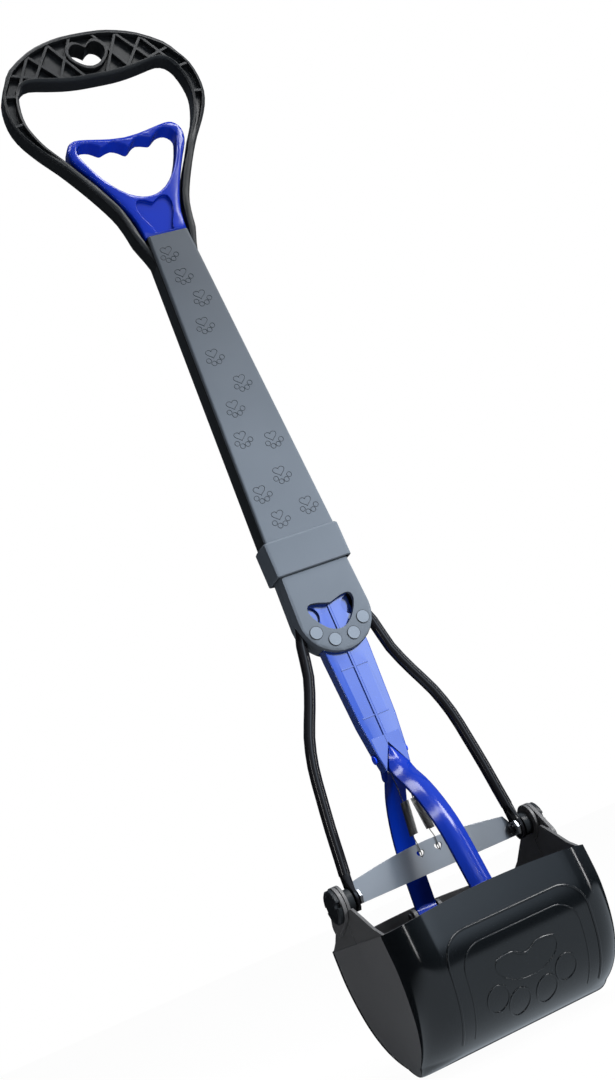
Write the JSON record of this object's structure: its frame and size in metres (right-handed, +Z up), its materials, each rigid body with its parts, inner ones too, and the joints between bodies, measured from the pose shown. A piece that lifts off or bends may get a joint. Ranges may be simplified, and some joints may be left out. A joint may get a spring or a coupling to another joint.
{
  "type": "pet waste scooper",
  "caption": "Long-handled pet waste scooper: loop grip and pull trigger work a rod that opens two spring-closed rounded jaws at the foot of a tapered tube.",
  "frame": {"origin": "middle of the heart-shaped hanging hole in the grip, in the handle's middle plane", "axes": "+Z up the handle from the jaws to the grip, +X along the jaw pivot axis, -Y towards the front, where the tube cover and the finger side are"},
  "size_m": [0.146, 0.1386, 0.7095],
  "materials": {
    "black_plastic": "satin charcoal moulding",
    "grey_plastic": "satin grey moulding",
    "jaw_plastic": "gloss black moulding",
    "blue_plastic": "glossy royal blue moulding",
    "black_steel": "gloss black coated steel",
    "zinc_steel": "bright zinc plate",
    "spring_steel": "dark oiled spring wire"
  },
  "bodies": {
    "handle": {"handle_frame": "black_plastic", "tube_cover": "grey_plastic", "cover_screw_1": "zinc_steel", "cover_screw_2": "zinc_steel", "cover_screw_3": "zinc_steel", "cover_screw_4": "zinc_steel", "lower_front_shell": "grey_plastic", "lower_rear_shell": "grey_plastic", "wire_left": "black_steel", "wire_right": "black_steel", "cross_strap": "black_steel", "pivot_pin_left": "zinc_steel", "pivot_pin_right": "zinc_steel", "spacer_left": "black_plastic", "spacer_right": "black_plastic", "pivot_cap_left": "black_plastic", "pivot_cap_right": "black_plastic", "spring_left": "spring_steel", "spring_right": "spring_steel"},
    "collar": {"joint_collar": "grey_plastic"},
    "pull": {"trigger": "blue_plastic", "pull_rod": "blue_plastic", "rod_screw_1": "zinc_steel", "rod_screw_2": "zinc_steel", "rod_pin": "zinc_steel"},
    "front_scoop": {"front_jaw": "jaw_plastic", "front_lug_pin": "zinc_steel"},
    "rear_scoop": {"rear_jaw": "jaw_plastic", "rear_lug_pin": "zinc_steel"},
    "front_link": {"front_arm": "blue_plastic"},
    "rear_link": {"rear_arm": "blue_plastic"}
  },
  "joints": [
    {"name": "trigger_pull", "type": "slide", "parent": "handle", "child": "pull", "axis": [0, 0, 1], "range_m": [0, 0.03], "stiffness_N_per_m": 400, "springref_m": -0.025, "deforming": ["spring_left", "spring_right"]},
    {"name": "front_jaw_hinge", "type": "hinge", "parent": "handle", "child": "front_scoop", "pos_m": [0, 0, -0.5835], "axis": [-1, 0, 0], "range_deg": [0, 35.2]},
    {"name": "rear_jaw_hinge", "type": "hinge", "parent": "handle", "child": "rear_scoop", "pos_m": [0, 0, -0.5835], "axis": [1, 0, 0], "range_deg": [0, 35.2]},
    {"name": "front_arm_swing", "type": "hinge", "parent": "pull", "child": "front_link", "pos_m": [0, 0, -0.5135], "axis": [-1, 0, 0], "range_deg": [0, 3.1]},
    {"name": "rear_arm_swing", "type": "hinge", "parent": "pull", "child": "rear_link", "pos_m": [0, 0, -0.5135], "axis": [1, 0, 0], "range_deg": [0, 3.1]},
    {"name": "collar_slide", "type": "slide", "parent": "handle", "child": "collar", "axis": [0, 0, 1], "range_m": [0, 0.026]}
  ],
  "couplings": [
    {"joint": "front_jaw_hinge", "follows": "trigger_pull", "rad_per_m": 20.47},
    {"joint": "rear_jaw_hinge", "follows": "trigger_pull", "rad_per_m": 20.47},
    {"joint": "front_arm_swing", "follows": "trigger_pull", "rad_per_m": 1.76},
    {"joint": "rear_arm_swing", "follows": "trigger_pull", "rad_per_m": 1.76}
  ]
}
